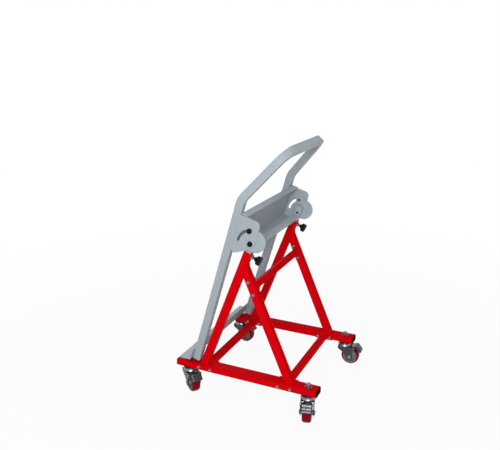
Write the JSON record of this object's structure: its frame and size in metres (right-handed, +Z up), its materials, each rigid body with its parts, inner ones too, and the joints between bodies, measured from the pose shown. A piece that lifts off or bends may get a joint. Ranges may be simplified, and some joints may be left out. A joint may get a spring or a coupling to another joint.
{
  "type": "sheet goods cart",
  "caption": "Wheeled stand for carrying a sheet on edge: a slanted frame with a low ledge and hand bow, which slides up and tips level on a braced tube base with braked casters.",
  "frame": {"origin": "on the floor, at the middle of the space the cart takes up with its casters as shown", "axes": "+Z up, +X to the cart's right-hand side, +Y to the rear, the side of the hand bow and knobs"},
  "size_m": [0.5781, 0.6216, 0.9859],
  "materials": {
    "red_coat": "glossy red powder coat",
    "grey_coat": "satin light grey powder coat",
    "black_plastic": "moulded black plastic",
    "black_steel": "black oxide",
    "zinc_steel": "bright zinc plate",
    "caster_steel": "pressed steel with dark bright plating",
    "red_tread": "cast crimson polyurethane",
    "grey_core": "moulded grey nylon"
  },
  "bodies": {
    "base": {"right_rail": "red_coat", "right_rail_front_cap": "black_plastic", "right_rail_rear_cap": "black_plastic", "right_post": "red_coat", "right_brace": "red_coat", "right_clamp_nut": "zinc_steel", "left_rail": "red_coat", "left_rail_front_cap": "black_plastic", "left_rail_rear_cap": "black_plastic", "left_post": "red_coat", "left_brace": "red_coat", "left_clamp_nut": "zinc_steel", "front_cross_tube": "red_coat", "rear_cross_tube": "red_coat", "upper_cross_tube": "red_coat", "rear_right_mount_bolt": "zinc_steel", "rear_right_swivel_cup": "caster_steel", "rear_left_mount_bolt": "zinc_steel", "rear_left_swivel_cup": "caster_steel", "front_right_mount_bolt": "zinc_steel", "front_right_swivel_cup": "caster_steel", "front_left_mount_bolt": "zinc_steel", "front_left_swivel_cup": "caster_steel"},
    "stand_heads": {"right_stand_head": "grey_coat", "right_pivot_bolt": "black_steel", "right_slot_bolt": "black_steel", "left_stand_head": "grey_coat", "left_pivot_bolt": "black_steel", "left_slot_bolt": "black_steel", "head_bar": "grey_coat"},
    "tilt_frame": {"right_upright": "grey_coat", "right_bracket": "grey_coat", "left_upright": "grey_coat", "left_bracket": "grey_coat", "handle_bow": "grey_coat", "cross_beam": "grey_coat", "ledge": "grey_coat"},
    "right_clamp": {"right_clamp_knob": "black_plastic"},
    "left_clamp": {"left_clamp_knob": "black_plastic"},
    "rear_right_caster": {"rear_right_fork": "caster_steel", "rear_right_axle": "caster_steel"},
    "rear_right_wheel": {"rear_right_tread": "red_tread", "rear_right_wheel_core": "grey_core"},
    "rear_right_pedal": {"rear_right_brake_pedal": "caster_steel"},
    "rear_left_caster": {"rear_left_fork": "caster_steel", "rear_left_axle": "caster_steel"},
    "rear_left_wheel": {"rear_left_tread": "red_tread", "rear_left_wheel_core": "grey_core"},
    "rear_left_pedal": {"rear_left_brake_pedal": "caster_steel"},
    "front_right_caster": {"front_right_fork": "caster_steel", "front_right_axle": "caster_steel"},
    "front_right_wheel": {"front_right_tread": "red_tread", "front_right_wheel_core": "grey_core"},
    "front_right_pedal": {"front_right_brake_pedal": "caster_steel"},
    "front_left_caster": {"front_left_fork": "caster_steel", "front_left_axle": "caster_steel"},
    "front_left_wheel": {"front_left_tread": "red_tread", "front_left_wheel_core": "grey_core"},
    "front_left_pedal": {"front_left_brake_pedal": "caster_steel"}
  },
  "joints": [
    {"name": "height_adjust", "type": "slide", "parent": "base", "child": "stand_heads", "axis": [0, 0.3616, 0.9323], "range_m": [0, 0.12]},
    {"name": "frame_tilt", "type": "hinge", "parent": "stand_heads", "child": "tilt_frame", "pos_m": [0, 0.0075, 0.646], "axis": [-1, 0, 0], "range_deg": [0, 73.5]},
    {"name": "right_clamp_turn", "type": "hinge", "parent": "base", "child": "right_clamp", "pos_m": [0.207, -0.0113, 0.59752], "axis": [0, 0.9323, -0.3616], "range_deg": [0, 540]},
    {"name": "left_clamp_turn", "type": "hinge", "parent": "base", "child": "left_clamp", "pos_m": [-0.249, -0.0113, 0.59752], "axis": [0, 0.9323, -0.3616], "range_deg": [0, 540]},
    {"name": "rear_right_swivel", "type": "hinge", "parent": "base", "child": "rear_right_caster", "pos_m": [0.21, 0.2335, 0.092], "axis": [0, 0, 1], "continuous": true},
    {"name": "rear_right_roll", "type": "hinge", "parent": "rear_right_caster", "child": "rear_right_wheel", "pos_m": [0.23608, 0.24049, 0.0375], "axis": [-0.2588, 0.9659, 0], "continuous": true},
    {"name": "rear_right_brake", "type": "hinge", "parent": "rear_right_caster", "child": "rear_right_pedal", "pos_m": [0.25154, 0.24463, 0.078], "axis": [-0.2588, 0.9659, 0], "range_deg": [0, 15]},
    {"name": "rear_left_swivel", "type": "hinge", "parent": "base", "child": "rear_left_caster", "pos_m": [-0.252, 0.2335, 0.092], "axis": [0, 0, 1], "continuous": true},
    {"name": "rear_left_roll", "type": "hinge", "parent": "rear_left_caster", "child": "rear_left_wheel", "pos_m": [-0.25388, 0.26043, 0.0375], "axis": [-0.9976, -0.0698, 0], "continuous": true},
    {"name": "rear_left_brake", "type": "hinge", "parent": "rear_left_caster", "child": "rear_left_pedal", "pos_m": [-0.255, 0.2764, 0.078], "axis": [-0.9976, -0.0698, 0], "range_deg": [0, 15]},
    {"name": "front_right_swivel", "type": "hinge", "parent": "base", "child": "front_right_caster", "pos_m": [0.21, -0.2625, 0.092], "axis": [0, 0, 1], "continuous": true},
    {"name": "front_right_roll", "type": "hinge", "parent": "front_right_caster", "child": "front_right_wheel", "pos_m": [0.22662, -0.24122, 0.0375], "axis": [-0.788, 0.6157, 0], "continuous": true},
    {"name": "front_right_brake", "type": "hinge", "parent": "front_right_caster", "child": "front_right_pedal", "pos_m": [0.23647, -0.22862, 0.078], "axis": [-0.788, 0.6157, 0], "range_deg": [0, 15]},
    {"name": "front_left_swivel", "type": "hinge", "parent": "base", "child": "front_left_caster", "pos_m": [-0.252, -0.2625, 0.092], "axis": [0, 0, 1], "continuous": true},
    {"name": "front_left_roll", "type": "hinge", "parent": "front_left_caster", "child": "front_left_wheel", "pos_m": [-0.24965, -0.2356, 0.0375], "axis": [-0.9962, 0.0872, 0], "continuous": true},
    {"name": "front_left_brake", "type": "hinge", "parent": "front_left_caster", "child": "front_left_pedal", "pos_m": [-0.24825, -0.21966, 0.078], "axis": [-0.9962, 0.0872, 0], "range_deg": [0, 15]}
  ]
}
